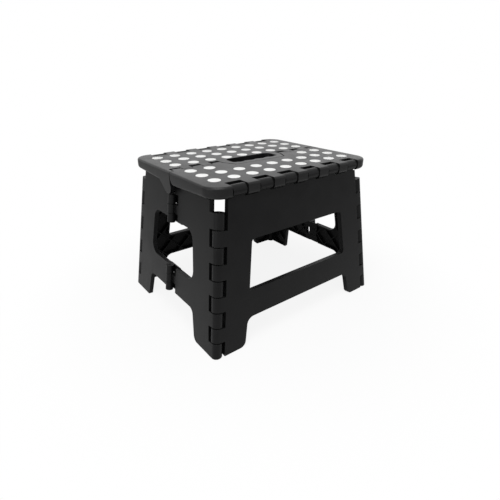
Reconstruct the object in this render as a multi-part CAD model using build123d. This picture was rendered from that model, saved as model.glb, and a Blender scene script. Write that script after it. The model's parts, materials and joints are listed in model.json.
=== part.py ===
from build123d import *
from math import ceil, cos, radians, sin, sqrt, tan
import os

os.makedirs("parts", exist_ok=True)

# Overall form: X runs along the stool, Y from front to rear, Z up from the floor
height = 225.0
plate_length = 285.6
plate_depth = 230.0
foot_half_length = 160.6
foot_half_depth = 131.2
leg_tilt = 6.1
end_tilt = 7.6

# Top plate
plate_thickness = 15.2
plate_corner_radius = 23.5
plate_skin = 3.6
plate_wall = 3.0
rim_top_round = 3.0
rim_bottom_round = 5.0
rim_wall = 4.0
skirt_width = 5.6
skirt_drop = 2.0
skirt_round = 1.5
plate_rib = 2.0
plate_rib_pitch = 30.0

# Zigzag split between the two halves of the plate, with the handle in its middle
handle_half_width = 55.8
handle_front_half_width = 46.0
handle_reach = 26.0
handle_round = 4.0
finger_width = 16.0
finger_reach = 4.6
finger_notch = 8.0
rim_finger_notch = 5.0
finger_side_gap = 1.4
finger_round = 1.4
split_gap = 1.0
rim_reach = 9.0
rim_gap = 1.2
handle_side_gap = 1.8

# Hand slot with finger scallops along its front edge
slot_half_length = 42.0
slot_rear = 10.8
slot_front = 14.8
slot_rear_round = 9.0
slot_front_round = 4.0
scallop_count = 4
scallop_pitch = 19.5
scallop_radius = 11.0
scallop_reach = 17.0

# White grip dots
dot_radius = 8.2
dot_depth = 1.0
dot_proud = 0.3
dot_pitch_x = 29.34
dot_columns = 9
dot_rows_y = [22.0, 51.0, 80.0]
handle_row_dots = 2

# Middle hinge of the plate: lugs below the split, on one rod at each end
centre_axis_drop = 21.5
lug_radius = 6.0
lug_setback = 1.0
lug_root = 17.0
tongue_radius = 10.0
tongue_root = 23.0
lug_width = 6.5
lug_gap = 0.6
inner_lug_x = 58.4
front_lug_x = 96.3
rim_end_round = 12.0
centre_rod_radius = 2.5
centre_rod_cover = 2.0

# Hinges along the front and rear edges of the plate
knuckle_count = 6
knuckle_pitch = 41.1
knuckle_width = 20.0
knuckle_radius = 7.2
knuckle_side_gap = 1.7
knuckle_back_gap = 3.4
edge_rod_radius = 2.5
edge_rod_reach = 8.0

# Leg panels
leg_thickness = 7.8
leg_top_gap = 1.4
leg_window_bottom = 79.8
leg_window_top = 150.6
leg_window_bottom_half = 95.8
leg_window_top_half = 86.0
leg_window_round = 5.0
leg_arch_top = 41.1
leg_arch_top_half = 102.0
leg_arch_bottom_half = 110.2
leg_arch_round = 12.0
foot_round = 10.0

# End walls, each in two halves
end_thickness = 6.7
end_top = 206.5
end_rod_notch_bottom = 194.5
end_rod_notch_half = 5.0
end_edge_gap = 0.9
end_window_bottom = 84.7
end_window_top = 156.5
end_window_bottom_half = 66.0
end_window_top_half = 56.7
end_window_round = 16.0
end_arch_top = 45.5
end_arch_top_half = 67.0
end_arch_bottom_half = 76.8
end_arch_round = 10.0
rear_foot_round = 1.5

# Moulded skin, border walls and crossed ribs of the legs and end walls
panel_skin = 3.0
panel_wall = 2.8
panel_rib = 1.8
panel_rib_pitch = 26.0
smallest_cell = 25.0

# Corner hinges between legs and end walls
corner_top = 193.2
corner_knuckles = 9
corner_radius = 7.6
corner_end_gap = 1.4
leg_corner_gap = 0.8
end_corner_gap = 0.9
corner_rod_radius = 2.0
corner_rod_inset = 6.0
corner_rod_recess = 1.0

# Middle hinges of the end walls, upper and lower group
end_hinge_tops = [191.9, 86.0]
end_hinge_knuckle = 13.4
end_hinge_knuckles = 3
end_hinge_gap = 0.8
end_hinge_radius = 5.6
end_axis_offset = 1.5
front_hinge_relief = 9.5
rear_hinge_relief = 3.0
hinge_flap = 1.8
hinge_flap_reach = 19.5
hinge_flap_gap = 1.3
end_pin_radius = 1.2
end_pin_play = 2.9
end_pin_inset = 2.0

# Fits
running_fit = 0.05
weld = 2.0

plate_bottom = height - plate_thickness
edge_radius = plate_thickness / 2
edge_y = plate_depth / 2 - edge_radius
edge_z = height - edge_radius
centre_z = height - centre_axis_drop
half_length = plate_length / 2
leg_slope = tan(radians(leg_tilt))
end_slope = tan(radians(end_tilt))
leg_cos = cos(radians(leg_tilt))
leg_sin = sin(radians(leg_tilt))
end_cos = cos(radians(end_tilt))
end_sin = sin(radians(end_tilt))

# Outer faces of the front leg and of the left end wall
leg_plane = Plane((0, -foot_half_depth, 0), x_dir=(1, 0, 0), z_dir=(0, -leg_cos, leg_sin))
end_plane = Plane((-foot_half_length, 0, 0), x_dir=(0, -1, 0), z_dir=(-end_cos, 0, end_sin))

# Axis of the front left corner hinge, as deep below both faces as its barrel is round
corner_x = foot_half_length - corner_radius / end_cos
corner_y = foot_half_depth - corner_radius / leg_cos
corner_stretch = sqrt(1 + leg_slope ** 2 + end_slope ** 2)
corner_origin = Vector(-corner_x, -corner_y, 0)
corner_axis = Vector(end_slope, leg_slope, 1)
corner_pitch = corner_top * corner_stretch / corner_knuckles
corner_leg_frame = Plane(corner_origin, x_dir=leg_plane.z_dir, z_dir=corner_axis)
corner_end_frame = Plane(corner_origin, x_dir=end_plane.z_dir, z_dir=corner_axis)
leg_edge_distance = corner_radius + leg_corner_gap
end_edge_distance = corner_radius + end_corner_gap
leg_side_slope = leg_cos * end_slope
end_side_slope = end_cos * leg_slope

floor_depth = 60.0
below_floor = Pos(0, 0, -floor_depth / 2) * Box(3 * foot_half_length, 3 * foot_half_depth, floor_depth)


def rod(frame, radius, start, end):
    """Cylinder along the Z axis of a frame, from start to end."""
    return frame * Pos(0, 0, (start + end) / 2) * Cylinder(radius, end - start)


def slab(frame, x_range, y_range, z_range):
    """Block in a frame, given by its limits along each axis."""
    size = [high - low for low, high in (x_range, y_range, z_range)]
    middle = [(high + low) / 2 for low, high in (x_range, y_range, z_range)]
    return frame * Pos(*middle) * Box(*size)


def round_corners(face, radius, chosen):
    """Round the corners of a flat face that the test picks."""
    return fillet(face.vertices().filter_by(chosen), radius)


def near(value, target):
    return abs(value - target) < 0.01


def both_sides(piece):
    return piece + mirror(piece, about=Plane.YZ)


def along_x(y, z):
    """Frame with its Z axis along X, through a point of the YZ plane."""
    return Plane((0, y, z), x_dir=(0, 1, 0), z_dir=(1, 0, 0))


def crossed_strips(half_width, low, high, pitch, thickness, angles):
    """Straight ribs at the given angles over a rectangle."""
    reach = half_width + high - low
    count = ceil(reach / pitch)
    middle = Pos(0, (low + high) / 2)
    strips = []
    for angle in angles:
        for step in range(-count, count + 1):
            place = middle * Rot(0, 0, angle) * Pos(0, (step + 0.5) * pitch)
            strips.append(place * Rectangle(4 * reach, thickness))
    return Sketch() + strips


def ribbed_cells(floor, strips):
    """Hollow cells left between ribs, without the smallest slivers."""
    cells = floor - strips
    return Sketch() + [cell for cell in cells.faces() if cell.area > smallest_cell]


def split_path(handle_y, handle_ease, levels, rim, ease):
    """Right half of the zigzag edge of one plate half, from the middle to its end."""
    points = [(0, handle_y), (handle_front_half_width + handle_ease, handle_y)]
    points.append((handle_half_width + handle_ease, levels[1]))
    starts = [handle_half_width + band * finger_width for band in range(len(levels))]
    ends = starts[1:] + [half_length - lug_width - finger_side_gap / 2]
    for band, level in enumerate(levels):
        shift = ease if band % 2 == 0 else -ease
        points.append((starts[band] + shift, level))
        points.append((ends[band] - shift, level))
    return points + [(points[-1][0], rim), (half_length, rim)]


def plate_outline(path, outer_y):
    """Plan of one plate half, with rounded outer corners and rounded fingers."""
    right = path + [(half_length, outer_y)]
    left = [(-x, y) for x, y in reversed(right) if x > 0]
    face = make_face(Polyline(*right, *left, close=True))
    face = round_corners(face, plate_corner_radius, lambda v: near(v.Y, outer_y))
    face = round_corners(face, finger_round, lambda v: handle_half_width - 1 < abs(v.X) < half_length - 1
                         and abs(v.Y) < handle_reach)
    return round_corners(face, handle_round, lambda v: near(v.Y, path[0][1]))


def rim_edges(solid, level, outer_y):
    """Edges along the outside of a plate half at one height."""
    edges = []
    for edge in solid.edges().filter_by_position(Axis.Z, level, level):
        middle = edge @ 0.5
        corner = edge.geom_type == GeomType.CIRCLE and near(edge.radius, plate_corner_radius)
        if near(abs(middle.X), half_length) or near(middle.Y, outer_y) or corner:
            edges.append(edge)
    return edges


def plate_pocket(side, handle_y, wall_y):
    """Hollow below the skin of one plate half, crossed by ribs."""
    outer = edge_y - knuckle_radius - knuckle_back_gap - plate_wall
    end = half_length - rim_bottom_round - rim_wall
    step = handle_half_width + plate_wall
    right = [(step, handle_y), (step, wall_y), (end, wall_y), (end, side * outer)]
    left = [(-x, y) for x, y in reversed(right)]
    floor = make_face(Polyline(*right, *left, close=True))
    strips = crossed_strips(half_length, -plate_depth / 2, plate_depth / 2, plate_rib_pitch, plate_rib, [0, 90])
    return extrude(Pos(0, 0, plate_bottom) * ribbed_cells(floor, strips), plate_thickness - plate_skin)


def lug(side, start, radius, near_root, far_root):
    """Hinge lug of one plate half, from its root in the plate to the middle axis."""
    ring = Pos(0, centre_z) * Circle(radius)
    root = Polyline((side * near_root, plate_bottom), (side * far_root, plate_bottom))
    arm = make_hull(ring.edges() + root.edges())
    foot_height = plate_thickness - plate_skin
    foot = Pos(side * (near_root + far_root) / 2, plate_bottom + foot_height / 2)
    arm += foot * Rectangle(far_root - near_root, foot_height)
    return extrude(Plane.YZ.offset(start) * arm, lug_width)


def skirt_section(y, drop, radius):
    """Section of the rim at one place along its side, rounded below."""
    frame = Plane((half_length, y, plate_bottom), x_dir=(1, 0, 0), z_dir=(0, -1, 0))
    top = rim_bottom_round + weld
    section = make_face(Polyline((-skirt_width, -drop), (0, -drop), (0, top), (-skirt_width, top), close=True))
    return frame * round_corners(section, radius, lambda v: near(v.X, 0) and near(v.Y, -drop))


def rim_skirt(side, split_y):
    """Lower edge of a side rim, which gets deeper from the corner to the split."""
    corner = skirt_section(side * (plate_depth / 2 - plate_corner_radius), 0, rim_bottom_round)
    split = skirt_section(split_y, skirt_drop, skirt_round)
    return loft([corner, split])


def dot_places(side):
    """Centres of the grip dots of one plate half."""
    places = []
    for row, row_y in enumerate(dot_rows_y):
        for column in range(dot_columns):
            beside_handle = min(column, dot_columns - 1 - column) < handle_row_dots
            if side > 0 or row > 0 or beside_handle:
                places.append(((column - (dot_columns - 1) / 2) * dot_pitch_x, side * row_y))
    return places


def plate_half(side, path, handle_wall, split_wall, lugs, lug_bore):
    """One half of the top plate: rounded rim and skirts, ribbed hollow, hinge fingers and lugs."""
    outer_y = side * plate_depth / 2
    plate = extrude(Pos(0, 0, plate_bottom) * plate_outline(path, outer_y), plate_thickness)
    plate = fillet(rim_edges(plate, height, outer_y), rim_top_round)
    plate = fillet(rim_edges(plate, plate_bottom, outer_y), rim_bottom_round)
    plate -= plate_pocket(side, handle_wall, split_wall)
    plate += both_sides(rim_skirt(side, path[-1][1]))
    plate += both_sides(Part() + [lug(side, *place) for place in lugs])
    notch_y = sorted([side * (edge_y - knuckle_radius - knuckle_back_gap), side * plate_depth])
    notch_half = knuckle_width / 2 + knuckle_side_gap
    for x in knuckle_places:
        plate -= slab(Plane.XY, (x - notch_half, x + notch_half), notch_y, (plate_bottom - 1, height + 1))
    plate -= rod(along_x(side * edge_y, edge_z), edge_rod_radius, -edge_rod_half, edge_rod_half)
    plate -= both_sides(rod(along_x(0, centre_z), lug_bore, inner_lug_x - 1, centre_rod_end))
    for x, y in dot_places(side):
        plate -= rod(Plane((x, y, 0)), dot_radius, height - dot_depth, height + 1)
    return plate


def hand_slot():
    """Hand slot, straight at the rear and scalloped for the fingers at the front."""
    opening = Pos(0, (slot_rear - slot_front) / 2) * Rectangle(2 * slot_half_length, slot_rear + slot_front)
    opening = round_corners(opening, slot_rear_round, lambda v: near(v.Y, slot_rear))
    opening = round_corners(opening, slot_front_round, lambda v: near(v.Y, -slot_front))
    for index in range(scallop_count):
        x = (index - (scallop_count - 1) / 2) * scallop_pitch
        opening += Pos(x, scallop_radius - scallop_reach) * Circle(scallop_radius)
    return extrude(Pos(0, 0, plate_bottom - 1) * opening, plate_thickness + 2)


def rim_end_relief():
    """Cut that rounds the lower end of the front rim, clear of the rear half's lug."""
    radius = rim_end_round
    end = -rim_reach - rim_gap
    low = plate_bottom - skirt_drop
    square = Pos(end - radius / 2, low + radius / 2) * Rectangle(radius, radius)
    cut = square - Pos(end - radius, low + radius) * Circle(radius)
    return extrude(Plane.YZ.offset(half_length - lug_width - lug_gap) * cut, lug_width + 2 * lug_gap)


def corner_segments(first):
    """Heights along the corner axis of every second knuckle, counted from the top."""
    top = corner_top * corner_stretch
    gap = corner_end_gap / 2
    return [(top - (index + 1) * corner_pitch + gap, top - index * corner_pitch - gap)
            for index in range(first, corner_knuckles, 2)]


def corner_barrels(frame, depth, inward, segments):
    """Corner hinge barrels with webs that run back into their panel."""
    webs = sorted([0, inward])
    pieces = []
    for low, high in segments:
        pieces.append(rod(frame, corner_radius, low, high))
        pieces.append(slab(frame, (corner_radius - depth, corner_radius), webs, (low, high)))
    return Part() + pieces


def corner_bores(radius, segments):
    bottom = corner_rod_inset
    return Part() + [rod(corner_leg_frame, radius, max(low - 1, bottom), high + 1) for low, high in segments]


def leg_half_width(rise):
    """Half width of a leg panel at a height along its slope."""
    axis = corner_x - (rise - corner_radius * leg_slope) * leg_side_slope
    return axis - leg_edge_distance * sqrt(1 + leg_side_slope ** 2)


def leg_panel():
    """Front leg: ribbed panel with a window, an arch, top knuckles and corner knuckles."""
    top = (edge_z - edge_radius - leg_top_gap) / leg_cos
    arch = leg_arch_top / leg_cos
    right = [(leg_arch_top_half, arch), (leg_arch_bottom_half, 0)]
    right += [(leg_half_width(0), 0), (leg_half_width(top), top)]
    left = [(-x, y) for x, y in reversed(right)]
    outline = make_face(Polyline(*right, *left, close=True))
    outline = round_corners(outline, leg_arch_round, lambda v: near(v.Y, arch))
    outline = round_corners(outline, foot_round, lambda v: near(abs(v.X), leg_arch_bottom_half))
    low = leg_window_bottom / leg_cos
    high = leg_window_top / leg_cos
    right = [(leg_window_bottom_half, low), (leg_window_top_half, high)]
    left = [(-x, y) for x, y in reversed(right)]
    window = make_face(Polyline(*right, *left, close=True))
    window = fillet(window.vertices(), leg_window_round)
    hollow = offset(outline, -panel_wall) - offset(window, panel_wall)
    strips = crossed_strips(foot_half_length, 0, top, panel_rib_pitch, panel_rib, [45, -45])
    cells = ribbed_cells(hollow, strips)
    panel = extrude(leg_plane * (outline - window), -leg_thickness)
    panel -= extrude(leg_plane.offset(-panel_skin) * cells, -leg_thickness)
    segments = corner_segments(1)
    web = leg_edge_distance + weld
    panel += both_sides(corner_barrels(corner_leg_frame, leg_thickness, web, segments))
    axis = along_x(-edge_y, edge_z)
    neck = (top - weld, edge_z / leg_cos)
    for x in knuckle_places:
        ends = (x - knuckle_width / 2, x + knuckle_width / 2)
        panel += slab(leg_plane, ends, neck, (-leg_thickness, 0))
        panel += rod(axis, knuckle_radius, *ends)
    panel -= rod(axis, edge_rod_radius + running_fit, -edge_rod_half, edge_rod_half)
    panel -= both_sides(corner_bores(corner_rod_radius, segments))
    return panel - below_floor


def end_half_depth(rise):
    """Half depth of an end wall at a height along its slope."""
    axis = corner_y - (rise - corner_radius * end_slope) * end_side_slope
    return axis - end_edge_distance * sqrt(1 + end_side_slope ** 2)


def end_hinge_spans(turn):
    """Heights along the slope of the middle knuckles with one owner, turn 0 or 1 from the top."""
    spans = []
    for group_top in end_hinge_tops:
        for index in range(turn, end_hinge_knuckles, 2):
            high = (group_top - index * end_hinge_knuckle) / end_cos
            spans.append((high - end_hinge_knuckle / end_cos, high))
    return spans


def end_wall_half(turn, inner_round, relief, bore):
    """Front left half of an end wall: ribbed panel, middle knuckles with flaps, corner knuckles."""
    top = end_top / end_cos
    points = [(end_edge_gap, end_arch_top), (end_arch_top_half, end_arch_top), (end_arch_bottom_half, 0)]
    points += [(end_half_depth(0), 0), (end_half_depth(top), end_top)]
    points += [(end_rod_notch_half, end_top), (end_rod_notch_half, end_rod_notch_bottom)]
    points += [(end_edge_gap, end_rod_notch_bottom), (end_edge_gap, end_window_top)]
    points += [(end_window_top_half, end_window_top), (end_window_bottom_half, end_window_bottom)]
    points += [(end_edge_gap, end_window_bottom)]
    outline = make_face(Polyline(*[(x, z / end_cos) for x, z in points], close=True))
    outline = round_corners(outline, end_arch_round, lambda v: near(v.X, end_arch_top_half))
    outline = round_corners(outline, inner_round, lambda v: near(v.X, end_arch_bottom_half))
    outline = round_corners(outline, end_window_round, lambda v: near(v.X, end_window_top_half)
                            or near(v.X, end_window_bottom_half))
    barrel_reach = end_hinge_radius + relief
    gap = end_hinge_gap / 2
    for low, high in end_hinge_spans(1 - turn):
        away = Pos(0, (low + high) / 2) * Rectangle(2 * barrel_reach, high - low + 2 * gap)
        outline -= away
    hollow = offset(outline, -panel_wall)
    strips = crossed_strips(foot_half_depth, 0, top, panel_rib_pitch, panel_rib, [45, -45])
    cells = ribbed_cells(hollow, strips)
    panel = extrude(end_plane * outline, -end_thickness)
    panel -= extrude(end_plane.offset(-panel_skin) * cells, -end_thickness)
    flap_face = hinge_flap - end_thickness
    recess = (-2 * end_thickness, flap_face + hinge_flap_gap)
    if turn == 1:
        for low, high in end_hinge_spans(0):
            panel -= slab(end_plane, (0, hinge_flap_reach + hinge_flap_gap), (low - gap, high + gap), recess)
    segments = corner_segments(0)
    foot_low, foot_high = segments[-1]
    segments[-1] = (foot_low - corner_pitch / 2, foot_high)
    web = -(end_edge_distance + weld)
    panel += corner_barrels(corner_end_frame, end_thickness, web, segments)
    for low, high in end_hinge_spans(turn):
        barrel = (low + gap, high - gap)
        panel += rod(end_hinge_frame, end_hinge_radius, *barrel)
        panel += slab(end_plane, (0, barrel_reach + weld), barrel, (-end_thickness, 0))
        if turn == 0:
            panel += slab(end_plane, (-hinge_flap_reach, weld), barrel, (-end_thickness, flap_face))
        panel -= rod(end_hinge_frame, bore, *barrel)
    panel -= corner_bores(corner_rod_radius + running_fit, segments)
    return panel - below_floor


knuckle_places = [(index - (knuckle_count - 1) / 2) * knuckle_pitch for index in range(knuckle_count)]
edge_rod_half = knuckle_places[-1] + knuckle_width / 2 + knuckle_side_gap + edge_rod_reach
centre_rod_end = half_length - centre_rod_cover
lug_start = finger_notch + lug_setback
tongue = (half_length - lug_width, tongue_radius, -rim_reach, tongue_root)
rear_lugs = [tongue, (inner_lug_x, lug_radius, lug_start, lug_root)]
front_lugs = [(x, lug_radius, lug_start, lug_root) for x in (front_lug_x, inner_lug_x + lug_width + lug_gap)]
end_hinge_middle = end_plane.origin + end_plane.z_dir * end_axis_offset
end_hinge_frame = Plane(end_hinge_middle, x_dir=end_plane.x_dir, z_dir=end_plane.y_dir)

# Top plate halves
ease = finger_side_gap / 2
front_low = -finger_reach - split_gap
handle_ease = handle_side_gap / 2
front_levels = [0, front_low, 0, front_low, 0]
rear_levels = [finger_notch, -finger_reach, finger_notch, -finger_reach, rim_finger_notch]
front_path = split_path(-handle_reach - split_gap, handle_ease, front_levels, -rim_reach - rim_gap, ease)
rear_path = split_path(-handle_reach, -handle_ease, rear_levels, -rim_reach, -ease)
top_front = plate_half(-1, front_path, -handle_reach - split_gap - plate_wall, front_low - plate_wall,
                       front_lugs, centre_rod_radius + running_fit)
top_front -= both_sides(rim_end_relief())
top_rear = plate_half(1, rear_path, slot_rear + plate_wall, finger_notch + plate_wall,
                      rear_lugs, centre_rod_radius)
top_rear -= hand_slot()

nodes = {"top_front_panel": top_front, "top_rear_panel": top_rear}

# Grip dots, seated in shallow round pockets
for name, side in (("grip_dots_front", -1), ("grip_dots_rear", 1)):
    ends = (height - dot_depth, height + dot_proud)
    dots = [rod(Plane((x, y, 0)), dot_radius, *ends) for x, y in dot_places(side)]
    nodes[name] = Compound(children=dots)

# Hinge rods of the plate
centre_rod = rod(along_x(0, centre_z), centre_rod_radius, inner_lug_x, centre_rod_end)
nodes["centre_hinge_rod_right"] = centre_rod
nodes["centre_hinge_rod_left"] = mirror(centre_rod, about=Plane.YZ)
edge_rod = rod(along_x(-edge_y, edge_z), edge_rod_radius, -edge_rod_half, edge_rod_half)
nodes["front_edge_hinge_rod"] = edge_rod
nodes["rear_edge_hinge_rod"] = mirror(edge_rod, about=Plane.XZ)

# Legs
leg_front = leg_panel()
nodes["front_leg_panel"] = leg_front
nodes["rear_leg_panel"] = mirror(leg_front, about=Plane.XZ)

# End walls: the rear halves own two of three middle knuckles and hold the pins
front_half = end_wall_half(1, foot_round, front_hinge_relief, end_pin_radius + end_pin_play)
rear_half = mirror(end_wall_half(0, rear_foot_round, rear_hinge_relief, end_pin_radius), about=Plane.XZ)
nodes["end_wall_left_front"] = front_half
nodes["end_wall_left_rear"] = rear_half
nodes["end_wall_right_front"] = mirror(front_half, about=Plane.YZ)
nodes["end_wall_right_rear"] = mirror(rear_half, about=Plane.YZ)

# Middle hinge pins of the end walls
for level, group_top in zip(("upper", "lower"), end_hinge_tops):
    pin_top = group_top / end_cos - end_pin_inset
    pin_length = end_hinge_knuckles * end_hinge_knuckle / end_cos - 2 * end_pin_inset
    pin = rod(end_hinge_frame, end_pin_radius, pin_top - pin_length, pin_top)
    nodes["end_hinge_pin_left_" + level] = pin
    nodes["end_hinge_pin_right_" + level] = mirror(pin, about=Plane.YZ)

# Corner hinge rods
corner_rod_top = corner_top * corner_stretch - corner_rod_recess
corner_rod = rod(corner_leg_frame, corner_rod_radius, corner_rod_inset, corner_rod_top)
nodes["corner_rod_left_front"] = corner_rod
nodes["corner_rod_left_rear"] = mirror(corner_rod, about=Plane.XZ)
nodes["corner_rod_right_front"] = mirror(corner_rod, about=Plane.YZ)
nodes["corner_rod_right_rear"] = mirror(nodes["corner_rod_left_rear"], about=Plane.YZ)

for name, shape in nodes.items():
    export_step(shape, "parts/" + name + ".step")
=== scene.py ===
import json
import math

import bmesh
import bpy
from bpy.props import FloatProperty, FloatVectorProperty, IntProperty, PointerProperty
from bpy.types import Operator, Panel, PropertyGroup
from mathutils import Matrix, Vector


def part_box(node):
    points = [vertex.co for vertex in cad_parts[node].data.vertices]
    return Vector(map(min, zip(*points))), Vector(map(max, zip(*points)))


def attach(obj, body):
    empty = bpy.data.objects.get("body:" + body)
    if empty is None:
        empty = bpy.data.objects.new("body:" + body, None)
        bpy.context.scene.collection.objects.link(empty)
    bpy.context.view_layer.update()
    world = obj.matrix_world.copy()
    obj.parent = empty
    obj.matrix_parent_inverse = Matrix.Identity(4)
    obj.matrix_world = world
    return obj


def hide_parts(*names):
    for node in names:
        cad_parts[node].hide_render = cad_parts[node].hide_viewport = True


bl_info = {
    "name": "Folding step stool",
    "version": (1, 0, 0),
    "blender": (4, 5, 0),
    "location": "View3D > Sidebar > Stool",
    "description": "Finishes the moulded panels, grip dots and pins of a folding step stool",
    "category": "Object",
}

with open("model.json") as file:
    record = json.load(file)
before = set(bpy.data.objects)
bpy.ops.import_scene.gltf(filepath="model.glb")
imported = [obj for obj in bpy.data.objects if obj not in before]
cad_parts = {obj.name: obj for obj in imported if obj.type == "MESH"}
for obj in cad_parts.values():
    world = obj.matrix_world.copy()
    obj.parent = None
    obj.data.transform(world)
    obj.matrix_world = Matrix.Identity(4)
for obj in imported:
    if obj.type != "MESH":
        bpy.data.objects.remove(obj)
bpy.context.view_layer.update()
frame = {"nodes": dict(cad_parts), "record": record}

TREAD_NODES = {"top_front_panel": "top_front", "top_rear_panel": "top_rear"}
LEG_NODES = {"front_leg_panel": "leg_front", "rear_leg_panel": "leg_rear"}
END_WALL_NODES = {
    "end_wall_left_front": "end_left_front",
    "end_wall_left_rear": "end_left_rear",
    "end_wall_right_front": "end_right_front",
    "end_wall_right_rear": "end_right_rear",
}
PIN_WORDS = ("rod", "pin")

# Each half's dots, the body they ride on and the side of the split they lie on
DOT_HALVES = (("grip_dots_front", "top_front", -1.0), ("grip_dots_rear", "top_rear", 1.0))

WHITE = (1.0, 1.0, 1.0)
MERGE_DISTANCE = 1e-6
EDGE_SAMPLES = 4

# Noise textures, with their scales per metre
PEBBLE_NOISE = {"Detail": 3.0, "Roughness": 0.6}
PATCH_NOISE = {"Scale": 38.0, "Detail": 4.0, "Roughness": 0.55}
POWDER_NOISE = {"Scale": 900.0, "Detail": 3.0, "Roughness": 0.6}
DOT_PATCH_NOISE = {"Scale": 70.0, "Detail": 3.0}
DUST_NOISE = {"Scale": 3.0, "Detail": 2.0}

# Two shades of a colour, as factors, and the part of a noise texture's range that they span
PATCH_TONES = {"shades": (0.78, 1.25), "span": (0.3, 0.72)}
SPECK_TONES = {"shades": (0.72, 1.0), "span": (0.35, 0.6)}
DOT_TONES = {"shades": (0.95, 1.02), "span": (0.35, 0.65)}
DUST_TONES = {"shades": (0.985, 1.0), "span": (0.4, 0.6)}
ROUGHNESS_SPAN = (0.3, 0.7)

# Places of sockets that share their names with others of the same node
MIX_COLOUR_A = 6
MIX_COLOUR_B = 7
MIX_COLOUR_RESULT = 2
FIRST_SHADER = 1
SECOND_SHADER = 2


class StoolPlastic(PropertyGroup):
    """Colours and surface of the black moulded plastic."""

    tread_colour: FloatVectorProperty(
        name="Tread colour", description="Black of the grained tread", subtype="COLOR",
        size=3, min=0.0, max=1.0, default=(0.007, 0.007, 0.0072))
    panel_colour: FloatVectorProperty(
        name="Panel colour", description="Black of the legs and end walls", subtype="COLOR",
        size=3, min=0.0, max=1.0, default=(0.005, 0.005, 0.0052))
    pin_colour: FloatVectorProperty(
        name="Pin colour", description="Black of the hinge rods and pins", subtype="COLOR",
        size=3, min=0.0, max=1.0, default=(0.005, 0.005, 0.0052))
    tread_sheen: FloatProperty(
        name="Tread sheen", description="Strength of the tread's reflections",
        subtype="FACTOR", min=0.0, max=1.0, default=0.25)
    panel_sheen: FloatProperty(
        name="Panel sheen", description="Strength of the reflections in the legs, end walls and pins",
        subtype="FACTOR", min=0.0, max=1.0, default=0.16)
    tread_roughness: FloatProperty(
        name="Tread roughness", description="Mean roughness of the tread",
        subtype="FACTOR", min=0.0, max=1.0, default=0.33)
    panel_roughness: FloatProperty(
        name="Panel roughness", description="Mean roughness of the legs and end walls",
        subtype="FACTOR", min=0.0, max=1.0, default=0.38)
    pin_roughness: FloatProperty(
        name="Pin roughness", description="Mean roughness of the hinge rods and pins",
        subtype="FACTOR", min=0.0, max=1.0, default=0.36)
    roughness_spread: FloatProperty(
        name="Roughness spread", description="How far the roughness strays from its mean",
        subtype="FACTOR", min=0.0, max=1.0, default=0.04)
    tread_grain: FloatProperty(
        name="Tread grain", description="Size of the grain moulded into the tread",
        unit="LENGTH", min=0.0001, default=0.0011)
    panel_grain: FloatProperty(
        name="Panel grain", description="Size of the fine grain of the legs, end walls and pins",
        unit="LENGTH", min=0.0001, default=0.0007)
    tread_depth: FloatProperty(
        name="Tread grain depth", description="Depth of the tread's grain",
        unit="LENGTH", min=0.0, default=0.00016)
    panel_depth: FloatProperty(
        name="Panel grain depth", description="Depth of the grain of the legs and end walls",
        unit="LENGTH", min=0.0, default=0.00008)
    pin_depth: FloatProperty(
        name="Pin grain depth", description="Depth of the grain of the hinge rods and pins",
        unit="LENGTH", min=0.0, default=0.00003)
    tread_strength: FloatProperty(
        name="Tread grain strength", description="How plainly the tread's grain shows",
        subtype="FACTOR", min=0.0, max=1.0, default=0.6)
    panel_strength: FloatProperty(
        name="Panel grain strength", description="How plainly the grain of the legs and end walls shows",
        subtype="FACTOR", min=0.0, max=1.0, default=0.3)
    pin_strength: FloatProperty(
        name="Pin grain strength", description="How plainly the grain of the hinge rods and pins shows",
        subtype="FACTOR", min=0.0, max=1.0, default=0.2)
    grain_height: FloatProperty(
        name="Grain height", description="Height above which the tread's grain is moulded in full",
        unit="LENGTH", default=0.2246)
    grain_fade: FloatProperty(
        name="Grain fade", description="Depth over which the grain dies out down the rim",
        unit="LENGTH", min=0.0001, default=0.0022)
    rim_share: FloatProperty(
        name="Rim share", description="Share of the tread's grain that is left below the rim's edge",
        subtype="FACTOR", min=0.0, max=1.0, default=0.12)
    edge_round: FloatProperty(
        name="Edge round", description="Radius of the moulded edges",
        unit="LENGTH", min=0.0, default=0.0007)
    crease_angle: FloatProperty(
        name="Crease angle", description="Faces that meet at more than this stay sharp",
        subtype="ANGLE", min=0.0, max=math.pi, default=math.radians(32.0))


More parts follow.
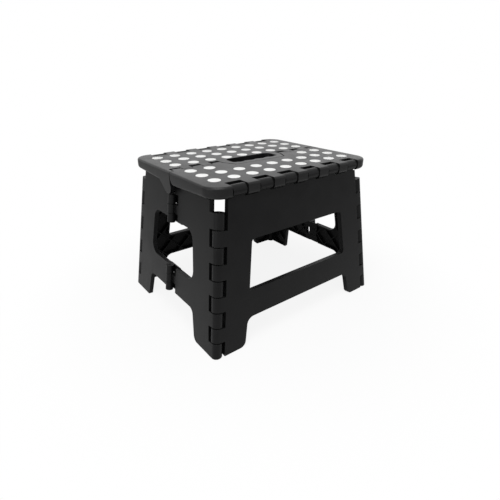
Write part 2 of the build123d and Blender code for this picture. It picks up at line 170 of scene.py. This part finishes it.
class StoolDots(PropertyGroup):
    """Sizes and surface of the grip dots."""

    colour: FloatVectorProperty(
        name="Dot colour", description="White of the grip dots", subtype="COLOR",
        size=3, min=0.0, max=1.0, default=(0.9, 0.9, 0.89))
    sheen: FloatProperty(
        name="Dot sheen", description="Strength of the reflections in the dots",
        subtype="FACTOR", min=0.0, max=1.0, default=0.35)
    least_roughness: FloatProperty(
        name="Least roughness", description="Roughness of the dots where they are smoothest",
        subtype="FACTOR", min=0.0, max=1.0, default=0.56)
    most_roughness: FloatProperty(
        name="Most roughness", description="Roughness of the dots where they are roughest",
        subtype="FACTOR", min=0.0, max=1.0, default=0.7)
    powder_depth: FloatProperty(
        name="Powder depth", description="Depth of the dots' powdery surface",
        unit="LENGTH", min=0.0, default=0.00006)
    powder_strength: FloatProperty(
        name="Powder strength", description="How plainly the powdery surface shows",
        subtype="FACTOR", min=0.0, max=1.0, default=0.2)
    radius: FloatProperty(
        name="Dot radius", description="Radius of a dot", unit="LENGTH", min=0.001, default=0.0082)
    height: FloatProperty(
        name="Dot height", description="Height of a dot from the bottom of its seat",
        unit="LENGTH", min=0.0002, default=0.0013)
    rounding: FloatProperty(
        name="Dot rounding", description="Radius of a dot's upper edge",
        unit="LENGTH", min=0.0, default=0.0003)
    ring_points: IntProperty(
        name="Ring points", description="Corners round a dot", min=3, default=40)
    round_steps: IntProperty(
        name="Round steps", description="Steps across a dot's rounded edge", min=1, default=4)
    column_pitch: FloatProperty(
        name="Column pitch", description="Distance between columns of dots",
        unit="LENGTH", min=0.001, default=0.02934)
    row_pitch: FloatProperty(
        name="Row pitch", description="Distance between rows of dots",
        unit="LENGTH", min=0.001, default=0.029)
    middle_row: FloatProperty(
        name="Middle row", description="Distance of each half's middle row from the split",
        unit="LENGTH", default=0.051)
    columns: IntProperty(name="Columns", description="Dots in a full row", min=1, default=9)
    rows: IntProperty(name="Rows", description="Rows on each half", min=1, default=3)
    handle_width: FloatProperty(
        name="Handle width", description="Half width of the strip beside the handle without dots",
        unit="LENGTH", min=0.0, default=0.066)
    handle_reach: FloatProperty(
        name="Handle reach", description="How far the handle's bare strip runs into the front half",
        unit="LENGTH", min=0.0, default=0.035)


class StoolStage(PropertyGroup):
    """Camera, light and floor around the stool."""

    lens: FloatProperty(
        name="Lens", description="Focal length", subtype="DISTANCE_CAMERA", default=26.58)
    sensor_width: FloatProperty(
        name="Sensor width", description="Width of the camera's sensor",
        subtype="DISTANCE_CAMERA", default=36.0)
    clip_start: FloatProperty(
        name="Clip start", description="Nearest distance that the camera sees",
        unit="LENGTH", default=0.01)
    azimuth: FloatProperty(
        name="Azimuth", description="Turn of the camera round the stool",
        subtype="ANGLE", default=math.radians(-37.56))
    elevation: FloatProperty(
        name="Elevation", description="Height of the camera above the horizon",
        subtype="ANGLE", default=math.radians(25.89))
    distance: FloatProperty(
        name="Distance", description="Distance of the camera along its axis from the tread",
        unit="LENGTH", default=0.56973)
    rise: FloatProperty(
        name="Rise", description="Shift of the camera along its own up direction",
        unit="LENGTH", default=-0.14363)
    aside: FloatProperty(
        name="Aside", description="Shift of the camera along its own right direction",
        unit="LENGTH", default=-0.00088)
    tread_height: FloatProperty(
        name="Tread height", description="Height of the tread that the camera is set out from",
        unit="LENGTH", default=0.225)
    floor_size: FloatProperty(
        name="Floor size", description="Side of the floor", unit="LENGTH", default=14.0)
    floor_colour: FloatVectorProperty(
        name="Floor colour", description="Pale colour of the floor", subtype="COLOR",
        size=3, min=0.0, max=1.0, default=(0.9, 0.9, 0.9))
    floor_clearance: FloatProperty(
        name="Floor clearance", description="Gap that keeps the floor from the feet",
        unit="LENGTH", default=0.0002)
    shadow_share: FloatProperty(
        name="Shadow share", description="How much of the stool's shadow the white floor shows",
        subtype="FACTOR", min=0.0, max=1.0, default=0.12)
    shadow_from: FloatProperty(
        name="Shadow from", description="Distance from the middle where the shadow starts to fade",
        unit="LENGTH", default=0.15)
    shadow_to: FloatProperty(
        name="Shadow to", description="Distance from the middle where the floor is plain white",
        unit="LENGTH", default=0.42)
    mirror_share: FloatProperty(
        name="Mirror share", description="How much of the floor's own light and shade is reflected",
        subtype="FACTOR", min=0.0, max=1.0, default=0.85)
    ambient: FloatProperty(
        name="Ambient", description="Level of the light from all around", min=0.0, default=0.28)
    key_power: FloatProperty(
        name="Key power", description="Power of the lamp above", unit="POWER", default=9.2)
    key_size: FloatProperty(
        name="Key size", description="Side of the lamp above", unit="LENGTH", default=0.8)
    key_place: FloatVectorProperty(
        name="Key place", description="Place of the lamp above", subtype="TRANSLATION",
        unit="LENGTH", size=3, default=(-0.35, -0.4, 1.1))
    fill_power: FloatProperty(
        name="Fill power", description="Power of the lamp on the left", unit="POWER", default=4.0)
    fill_size: FloatProperty(
        name="Fill size", description="Side of the lamp on the left", unit="LENGTH", default=1.0)
    fill_place: FloatVectorProperty(
        name="Fill place", description="Place of the lamp on the left", subtype="TRANSLATION",
        unit="LENGTH", size=3, default=(-1.5, -0.2, 0.6))


def add_node(tree, kind, links=None, **values):
    """New node with sockets filled by name or place, from a value or from another node's output."""
    node = tree.nodes.new(kind)
    for name, value in values.items():
        setattr(node, name, value)
    for socket, value in (links or {}).items():
        if isinstance(value, bpy.types.NodeSocket):
            tree.links.new(value, node.inputs[socket])
        else:
            node.inputs[socket].default_value = value
    return node


def calc(tree, operation, first, second=0.0):
    """Result of a sum on one or two values."""
    return add_node(tree, "ShaderNodeMath", {0: first, 1: second}, operation=operation).outputs[0]


def empty_material(name):
    """Material with a lone output node."""
    material = bpy.data.materials.new(name)
    material.use_nodes = True
    tree = material.node_tree
    tree.nodes.clear()
    return material, tree, tree.nodes.new("ShaderNodeOutputMaterial")


def shade_of(colour, factor=1.0):
    """Opaque colour, darkened or lightened by a factor."""
    return tuple(min(1.0, channel * factor) for channel in colour) + (1.0,)


def object_place(tree):
    """Place of a surface point in its object's own space."""
    return add_node(tree, "ShaderNodeTexCoord").outputs["Object"]


def noise_at(tree, place, settings):
    """Value of a noise texture at a place."""
    return add_node(tree, "ShaderNodeTexNoise", {"Vector": place, **settings}).outputs["Fac"]


def tone_between(tree, source, colour, shades, span):
    """Colour that runs between two of its shades over a part of the source's range."""
    ramp = add_node(tree, "ShaderNodeValToRGB", {"Fac": source})
    for element, factor, position in zip(ramp.color_ramp.elements, shades, span):
        element.position = position
        element.color = shade_of(colour, factor)
    return ramp.outputs["Color"]


def roughness_between(tree, source, least, most):
    """Roughness that follows a noise texture."""
    low, high = ROUGHNESS_SPAN
    return add_node(tree, "ShaderNodeMapRange", {
        "Value": source, "From Min": low, "From Max": high,
        "To Min": least, "To Max": most}).outputs["Result"]


def strength_down_rim(tree, place, plastic, strength):
    """Strength of the tread's grain, which dies out down the rim."""
    level = add_node(tree, "ShaderNodeSeparateXYZ", {"Vector": place}).outputs["Z"]
    return add_node(tree, "ShaderNodeMapRange", {
        "Value": level,
        "From Min": plastic.grain_height - plastic.grain_fade, "From Max": plastic.grain_height,
        "To Min": plastic.rim_share * strength, "To Max": strength}).outputs["Result"]


def moulded_plastic(name, plastic, colour, sheen, grain, depth, strength, roughness, top_only=False):
    """Black plastic from a grained mould: pebble grain, faint patches and soft edges."""
    material, tree, output = empty_material(name)
    place = object_place(tree)
    pebbles = noise_at(tree, place, {"Scale": 1.0 / grain, **PEBBLE_NOISE})
    patches = noise_at(tree, place, PATCH_NOISE)
    specked = add_node(tree, "ShaderNodeMix", {
        "Factor": 1.0,
        MIX_COLOUR_A: tone_between(tree, patches, colour, **PATCH_TONES),
        MIX_COLOUR_B: tone_between(tree, pebbles, WHITE, **SPECK_TONES),
    }, data_type="RGBA", blend_type="MULTIPLY")
    spread = plastic.roughness_spread
    rough = roughness_between(tree, patches, roughness - spread, roughness + spread)
    soft_edge = add_node(tree, "ShaderNodeBevel", {"Radius": plastic.edge_round}, samples=EDGE_SAMPLES)
    bump = add_node(tree, "ShaderNodeBump", {
        "Strength": strength_down_rim(tree, place, plastic, strength) if top_only else strength,
        "Distance": depth, "Height": pebbles, "Normal": soft_edge.outputs["Normal"]})
    shader = add_node(tree, "ShaderNodeBsdfPrincipled", {
        "Base Color": specked.outputs[MIX_COLOUR_RESULT], "Roughness": rough,
        "Specular IOR Level": sheen, "Normal": bump.outputs["Normal"]})
    tree.links.new(shader.outputs["BSDF"], output.inputs["Surface"])
    return material


def satin_plastic(name, plastic):
    """Black plastic of the legs and end walls."""
    return moulded_plastic(
        name, plastic, plastic.panel_colour, plastic.panel_sheen, plastic.panel_grain,
        plastic.panel_depth, plastic.panel_strength, plastic.panel_roughness)


def white_rubber(name, dots):
    """Matte white rubber of the grip dots, with a slightly powdery surface."""
    material, tree, output = empty_material(name)
    place = object_place(tree)
    powder = noise_at(tree, place, POWDER_NOISE)
    patches = noise_at(tree, place, DOT_PATCH_NOISE)
    bump = add_node(tree, "ShaderNodeBump", {
        "Strength": dots.powder_strength, "Distance": dots.powder_depth, "Height": powder})
    shader = add_node(tree, "ShaderNodeBsdfPrincipled", {
        "Base Color": tone_between(tree, patches, dots.colour, **DOT_TONES),
        "Roughness": roughness_between(tree, powder, dots.least_roughness, dots.most_roughness),
        "Specular IOR Level": dots.sheen, "Normal": bump.outputs["Normal"]})
    tree.links.new(shader.outputs["BSDF"], output.inputs["Surface"])
    return material


def new_piece(name, data):
    """Object in the scene for a mesh, a lamp or a camera."""
    piece = bpy.data.objects.new(name, data)
    bpy.context.scene.collection.objects.link(piece)
    return piece


def smooth_copy(node, name, material, crease_angle):
    """Copy of a packed panel, merged and smoothly shaded up to its creases."""
    mesh = frame["nodes"][node].data.copy()
    mesh.name = name
    if "custom_normal" in mesh.attributes:
        mesh.attributes.remove(mesh.attributes["custom_normal"])
    form = bmesh.new()
    form.from_mesh(mesh)
    bmesh.ops.remove_doubles(form, verts=form.verts, dist=MERGE_DISTANCE)
    form.to_mesh(mesh)
    form.free()
    mesh.materials.clear()
    mesh.materials.append(material)
    mesh.shade_smooth()
    mesh.set_sharp_from_angle(angle=crease_angle)
    return new_piece(name, mesh)


def dress_nodes(nodes, suffix, material, crease_angle):
    """Stand a smooth copy in for each packed panel, on the panel's own body."""
    for node, body in nodes.items():
        piece = smooth_copy(node, node + suffix, material, crease_angle)
        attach(piece, body)
        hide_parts(node)


class STOOL_OT_dress_tread(Operator):
    """Finish both halves of the tread in grained black plastic"""

    bl_idname = "stool.dress_tread"
    bl_label = "Tread halves"

    def execute(self, context):
        plastic = context.scene.stool_plastic
        material = moulded_plastic(
            "grained_tread_plastic", plastic, plastic.tread_colour, plastic.tread_sheen,
            plastic.tread_grain, plastic.tread_depth, plastic.tread_strength,
            plastic.tread_roughness, top_only=True)
        dress_nodes(TREAD_NODES, "_shell", material, plastic.crease_angle)
        return {"FINISHED"}


class STOOL_OT_dress_legs(Operator):
    """Finish the front and rear leg in satin black plastic"""

    bl_idname = "stool.dress_legs"
    bl_label = "Legs"

    def execute(self, context):
        plastic = context.scene.stool_plastic
        material = satin_plastic("satin_leg_plastic", plastic)
        dress_nodes(LEG_NODES, "_shell", material, plastic.crease_angle)
        return {"FINISHED"}


class STOOL_OT_dress_end_walls(Operator):
    """Finish the four end wall halves in satin black plastic"""

    bl_idname = "stool.dress_end_walls"
    bl_label = "End walls"

    def execute(self, context):
        plastic = context.scene.stool_plastic
        material = satin_plastic("satin_end_wall_plastic", plastic)
        dress_nodes(END_WALL_NODES, "_shell", material, plastic.crease_angle)
        return {"FINISHED"}


class STOOL_OT_dress_pins(Operator):
    """Finish the hinge rods and pins in smooth black plastic"""

    bl_idname = "stool.dress_pins"
    bl_label = "Hinge rods and pins"

    def execute(self, context):
        plastic = context.scene.stool_plastic
        material = moulded_plastic(
            "smooth_pin_plastic", plastic, plastic.pin_colour, plastic.panel_sheen,
            plastic.panel_grain, plastic.pin_depth, plastic.pin_strength, plastic.pin_roughness)
        for body, nodes in frame["record"]["behaviour"]["bodies"].items():
            pins = {node: body for node in nodes if any(word in node.split("_") for word in PIN_WORDS)}
            dress_nodes(pins, "_turned", material, plastic.crease_angle)
        return {"FINISHED"}


def rounded_dot(tree, sizes, dots):
    """Closed disc with a rounded upper edge, standing on the XY plane."""
    ring = add_node(tree, "GeometryNodeMeshCircle", {
        "Vertices": dots.ring_points, "Radius": sizes["Dot radius"]}, fill_type="NGON").outputs["Mesh"]
    underside = add_node(tree, "GeometryNodeFlipFaces", {"Mesh": ring}).outputs["Mesh"]
    straight = calc(tree, "SUBTRACT", sizes["Dot height"], sizes["Dot rounding"])
    wall = add_node(tree, "GeometryNodeExtrudeMesh", {
        "Mesh": ring, "Offset Scale": straight, "Individual": False}, mode="FACES")
    mesh, top = wall.outputs["Mesh"], wall.outputs["Top"]
    turn = math.pi / 2.0 / dots.round_steps
    for step in range(dots.round_steps):
        before, after = step * turn, (step + 1) * turn
        lift = calc(tree, "MULTIPLY", sizes["Dot rounding"], math.sin(after) - math.sin(before))
        wide, narrow = (
            calc(tree, "SUBTRACT", sizes["Dot radius"],
                 calc(tree, "MULTIPLY", sizes["Dot rounding"], 1.0 - math.cos(angle)))
            for angle in (before, after))
        raised = add_node(tree, "GeometryNodeExtrudeMesh", {
            "Mesh": mesh, "Selection": top, "Offset Scale": lift, "Individual": False}, mode="FACES")
        drawn = add_node(tree, "GeometryNodeScaleElements", {
            "Geometry": raised.outputs["Mesh"], "Selection": raised.outputs["Top"],
            "Scale": calc(tree, "DIVIDE", narrow, wide)})
        mesh, top = drawn.outputs["Geometry"], raised.outputs["Top"]
    joined = add_node(tree, "GeometryNodeJoinGeometry")
    tree.links.new(mesh, joined.inputs["Geometry"])
    tree.links.new(underside, joined.inputs["Geometry"])
    return add_node(tree, "GeometryNodeMergeByDistance", {
        "Geometry": joined.outputs["Geometry"], "Distance": MERGE_DISTANCE}).outputs["Geometry"]


def dot_field_tree(dots, material):
    """Node tree that sets rows of grip dots on one half of the tread."""
    tree = bpy.data.node_groups.new("grip_dot_rows", "GeometryNodeTree")
    tree.is_modifier = True
    sockets = {
        "Dot radius": ("NodeSocketFloat", dots.radius),
        "Dot height": ("NodeSocketFloat", dots.height),
        "Dot rounding": ("NodeSocketFloat", dots.rounding),
        "Column pitch": ("NodeSocketFloat", dots.column_pitch),
        "Row pitch": ("NodeSocketFloat", dots.row_pitch),
        "Columns": ("NodeSocketInt", dots.columns),
        "Rows": ("NodeSocketInt", dots.rows),
        "Centre": ("NodeSocketVector", (0.0, 0.0, 0.0)),
        "Bare half width": ("NodeSocketFloat", 0.0),
        "Bare from": ("NodeSocketFloat", 0.0),
    }
    identifiers = {}
    for name, (kind, value) in sockets.items():
        socket = tree.interface.new_socket(name=name, in_out="INPUT", socket_type=kind)
        socket.default_value = value
        identifiers[name] = socket.identifier
    tree.interface.new_socket(name="Geometry", in_out="OUTPUT", socket_type="NodeSocketGeometry")
    sizes = tree.nodes.new("NodeGroupInput").outputs
    width = calc(tree, "MULTIPLY", sizes["Column pitch"], calc(tree, "SUBTRACT", sizes["Columns"], 1.0))
    depth = calc(tree, "MULTIPLY", sizes["Row pitch"], calc(tree, "SUBTRACT", sizes["Rows"], 1.0))
    grid = add_node(tree, "GeometryNodeMeshGrid", {
        "Size X": width, "Size Y": depth,
        "Vertices X": sizes["Columns"], "Vertices Y": sizes["Rows"]})
    placed = add_node(tree, "GeometryNodeTransform", {
        "Geometry": grid.outputs["Mesh"], "Translation": sizes["Centre"]})
    spot = add_node(tree, "ShaderNodeSeparateXYZ", {
        "Vector": add_node(tree, "GeometryNodeInputPosition").outputs["Position"]})
    beside = calc(tree, "LESS_THAN", calc(tree, "ABSOLUTE", spot.outputs["X"]), sizes["Bare half width"])
    behind = calc(tree, "GREATER_THAN", spot.outputs["Y"], sizes["Bare from"])
    kept = add_node(tree, "GeometryNodeDeleteGeometry", {
        "Geometry": placed.outputs["Geometry"],
        "Selection": calc(tree, "MULTIPLY", beside, behind)}, domain="POINT")
    spread = add_node(tree, "GeometryNodeInstanceOnPoints", {
        "Points": kept.outputs["Geometry"], "Instance": rounded_dot(tree, sizes, dots)})
    real = add_node(tree, "GeometryNodeRealizeInstances", {"Geometry": spread.outputs["Instances"]})
    finished = add_node(tree, "GeometryNodeSetMaterial", {
        "Geometry": real.outputs["Geometry"], "Material": material})
    output = tree.nodes.new("NodeGroupOutput")
    tree.links.new(finished.outputs["Geometry"], output.inputs["Geometry"])
    return tree, identifiers


def baked_piece(name, tree, values, crease_angle):
    """Plain mesh from a node tree, with the modifier gone."""
    maker = new_piece(name + "_maker", bpy.data.meshes.new(name + "_maker"))
    modifier = maker.modifiers.new("rows", "NODES")
    modifier.node_group = tree
    for identifier, value in values.items():
        modifier[identifier] = value
    graph = bpy.context.evaluated_depsgraph_get()
    mesh = bpy.data.meshes.new_from_object(maker.evaluated_get(graph), depsgraph=graph)
    mesh.name = name
    bpy.data.objects.remove(maker)
    mesh.shade_smooth()
    mesh.set_sharp_from_angle(angle=crease_angle)
    return new_piece(name, mesh)


class STOOL_OT_make_grip_dots(Operator):
    """Set the white grip dots into both halves of the tread"""

    bl_idname = "stool.make_grip_dots"
    bl_label = "Grip dots"

    def execute(self, context):
        dots = context.scene.stool_dots
        crease = context.scene.stool_plastic.crease_angle
        tree, sockets = dot_field_tree(dots, white_rubber("white_dot_rubber", dots))
        for node, body, side in DOT_HALVES:
            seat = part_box(node)[0].z
            piece = baked_piece(node + "_moulded", tree, {
                sockets["Centre"]: (0.0, side * dots.middle_row, seat),
                sockets["Bare half width"]: dots.handle_width if side < 0.0 else 0.0,
                sockets["Bare from"]: -dots.handle_reach,
            }, crease)
            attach(piece, body)
            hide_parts(node)
        return {"FINISHED"}


def seen_directly(tree):
    """One for camera, mirror and glass rays, and nought for light on the stool."""
    path = add_node(tree, "ShaderNodeLightPath").outputs
    shown = calc(tree, "MAXIMUM", path["Is Camera Ray"], path["Is Glossy Ray"])
    return calc(tree, "MAXIMUM", shown, path["Is Transmission Ray"])


def floor_material(stage):
    """White studio floor with a soft shadow near the stool, reflected mostly as it is lit."""
    material, tree, output = empty_material("white_studio_floor")
    place = object_place(tree)
    dust = noise_at(tree, place, DUST_NOISE)
    paint = add_node(tree, "ShaderNodeBsdfDiffuse", {
        "Color": tone_between(tree, dust, stage.floor_colour, **DUST_TONES)})
    glow = add_node(tree, "ShaderNodeEmission", {"Color": shade_of(WHITE), "Strength": 1.0})
    away = add_node(tree, "ShaderNodeVectorMath", {"Vector": place}, operation="LENGTH").outputs["Value"]
    plain = add_node(tree, "ShaderNodeMapRange", {
        "Value": away, "From Min": stage.shadow_from, "From Max": stage.shadow_to,
        "To Min": 1.0 - stage.shadow_share, "To Max": 1.0}, interpolation_type="SMOOTHSTEP")
    mirrored = add_node(tree, "ShaderNodeLightPath").outputs["Is Glossy Ray"]
    white = add_node(tree, "ShaderNodeMix", {
        "Factor": mirrored, "A": plain.outputs["Result"],
        "B": 1.0 - stage.mirror_share}, data_type="FLOAT").outputs["Result"]
    mixed = add_node(tree, "ShaderNodeMixShader", {
        "Fac": calc(tree, "MULTIPLY", seen_directly(tree), white),
        FIRST_SHADER: paint.outputs["BSDF"], SECOND_SHADER: glow.outputs["Emission"]})
    tree.links.new(mixed.outputs["Shader"], output.inputs["Surface"])
    return material


def add_floor(stage):
    """Wide floor just below the feet."""
    form = bmesh.new()
    bmesh.ops.create_grid(form, x_segments=2, y_segments=2, size=stage.floor_size / 2.0)
    bmesh.ops.translate(form, verts=form.verts, vec=(0.0, 0.0, -stage.floor_clearance))
    mesh = bpy.data.meshes.new("studio_floor")
    form.to_mesh(mesh)
    form.free()
    mesh.materials.append(floor_material(stage))
    new_piece("studio_floor", mesh)


def add_room(scene, stage):
    """White room that lights the stool from all around at the ambient level."""
    world = bpy.data.worlds.new("studio_room")
    world.use_nodes = True
    tree = world.node_tree
    tree.nodes.clear()
    level = add_node(tree, "ShaderNodeMix", {
        "Factor": seen_directly(tree), "A": stage.ambient, "B": 1.0}, data_type="FLOAT")
    sky = add_node(tree, "ShaderNodeBackground", {
        "Color": shade_of(WHITE), "Strength": level.outputs["Result"]})
    output = tree.nodes.new("ShaderNodeOutputWorld")
    tree.links.new(sky.outputs["Background"], output.inputs["Surface"])
    scene.world = world


def add_lamp(name, power, size, place, target):
    """Square lamp that faces a target."""
    lamp = bpy.data.lights.new(name, "AREA")
    lamp.energy = power
    lamp.shape = "SQUARE"
    lamp.size = size
    holder = new_piece(name, lamp)
    holder.location = place
    holder.rotation_mode = "QUATERNION"
    holder.rotation_quaternion = (Vector(target) - Vector(place)).to_track_quat("-Z", "Y")


def add_camera(scene, stage):
    """Camera at the photograph's viewing angle, set out from the middle of the tread."""
    turn, tilt = stage.azimuth, stage.elevation
    level = math.cos(tilt)
    back = Vector((math.sin(turn) * level, -math.cos(turn) * level, math.sin(tilt)))
    right = Vector((math.cos(turn), math.sin(turn), 0.0))
    up = back.cross(right)
    lens = bpy.data.cameras.new("front_camera")
    lens.lens = stage.lens
    lens.sensor_width = stage.sensor_width
    lens.clip_start = stage.clip_start
    camera = new_piece("front_camera", lens)
    tread = Vector((0.0, 0.0, stage.tread_height))
    camera.location = tread + back * stage.distance + right * stage.aside + up * stage.rise
    camera.rotation_mode = "QUATERNION"
    camera.rotation_quaternion = (-back).to_track_quat("-Z", "Y")
    scene.camera = camera


class STOOL_OT_set_stage(Operator):
    """Set up the floor, the light and the camera"""

    bl_idname = "stool.set_stage"
    bl_label = "Stage"

    def execute(self, context):
        stage = context.scene.stool_stage
        add_floor(stage)
        add_room(context.scene, stage)
        middle = (0.0, 0.0, stage.tread_height / 2.0)
        add_lamp("key_lamp", stage.key_power, stage.key_size, stage.key_place, middle)
        add_lamp("fill_lamp", stage.fill_power, stage.fill_size, stage.fill_place, middle)
        add_camera(context.scene, stage)
        context.scene.view_settings.view_transform = "Standard"
        return {"FINISHED"}


class STOOL_PT_pieces(Panel):
    """Sidebar list of the stool's pieces and their settings"""

    bl_idname = "STOOL_PT_pieces"
    bl_label = "Folding step stool"
    bl_space_type = "VIEW_3D"
    bl_region_type = "UI"
    bl_category = "Stool"

    def draw(self, context):
        column = self.layout.column(align=True)
        for piece in PIECE_OPERATORS:
            column.operator(piece.bl_idname)
        for group in (context.scene.stool_plastic, context.scene.stool_dots, context.scene.stool_stage):
            box = self.layout.box()
            for name in group.__annotations__:
                box.prop(group, name)


PIECE_OPERATORS = (
    STOOL_OT_dress_tread,
    STOOL_OT_dress_legs,
    STOOL_OT_dress_end_walls,
    STOOL_OT_dress_pins,
    STOOL_OT_make_grip_dots,
    STOOL_OT_set_stage,
)
SETTINGS = {"stool_plastic": StoolPlastic, "stool_dots": StoolDots, "stool_stage": StoolStage}


def register():
    for kind in (*SETTINGS.values(), *PIECE_OPERATORS, STOOL_PT_pieces):
        bpy.utils.register_class(kind)
    for name, kind in SETTINGS.items():
        setattr(bpy.types.Scene, name, PointerProperty(type=kind))


def unregister():
    for name in SETTINGS:
        delattr(bpy.types.Scene, name)
    for kind in reversed((*SETTINGS.values(), *PIECE_OPERATORS, STOOL_PT_pieces)):
        bpy.utils.unregister_class(kind)


def main():
    register()
    bpy.ops.stool.dress_tread()
    bpy.ops.stool.dress_legs()
    bpy.ops.stool.dress_end_walls()
    bpy.ops.stool.dress_pins()
    bpy.ops.stool.make_grip_dots()
    bpy.ops.stool.set_stage()


if __name__ == "__main__":
    main()
